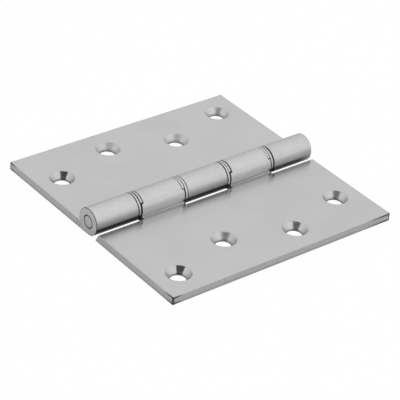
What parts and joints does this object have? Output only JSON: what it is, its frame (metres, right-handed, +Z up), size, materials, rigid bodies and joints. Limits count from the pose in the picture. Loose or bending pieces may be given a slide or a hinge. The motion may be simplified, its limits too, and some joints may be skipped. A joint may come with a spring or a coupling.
{
  "type": "projection hinge",
  "caption": "Flat rectangular door hinge with square corners, a thick projecting barrel of interleaved knuckles on one pin, keyed washers between them and staggered countersunk screw holes.",
  "frame": {"origin": "on the plane of the leaves' backs, straight under the middle of the pin", "axes": "+Z up, square to the open leaves, from their backs to the barrel; +Y along the pin; +X across the leaves, towards the leaf with two knuckles"},
  "size_m": [0.102, 0.102, 0.0108],
  "materials": {
    "satin_chrome": "solid-drawn brass with a satin chrome plate, lightly brushed",
    "washer_steel": "plain steel, smooth",
    "pin_steel": "steel with a satin chrome plate on its ends"
  },
  "bodies": {
    "rear_leaf": {"three_knuckle_leaf": "satin_chrome", "hinge_pin": "pin_steel", "washer_1_rear": "washer_steel", "washer_2_rear": "washer_steel", "washer_3_rear": "washer_steel", "washer_4_rear": "washer_steel"},
    "front_leaf": {"two_knuckle_leaf": "satin_chrome", "washer_1_front": "washer_steel", "washer_2_front": "washer_steel", "washer_3_front": "washer_steel", "washer_4_front": "washer_steel"}
  },
  "joints": [
    {"name": "leaf_swing", "type": "hinge", "parent": "rear_leaf", "child": "front_leaf", "pos_m": [0, 0, 0.0054], "axis": [0, -1, 0], "range_deg": [-85, 180]}
  ]
}
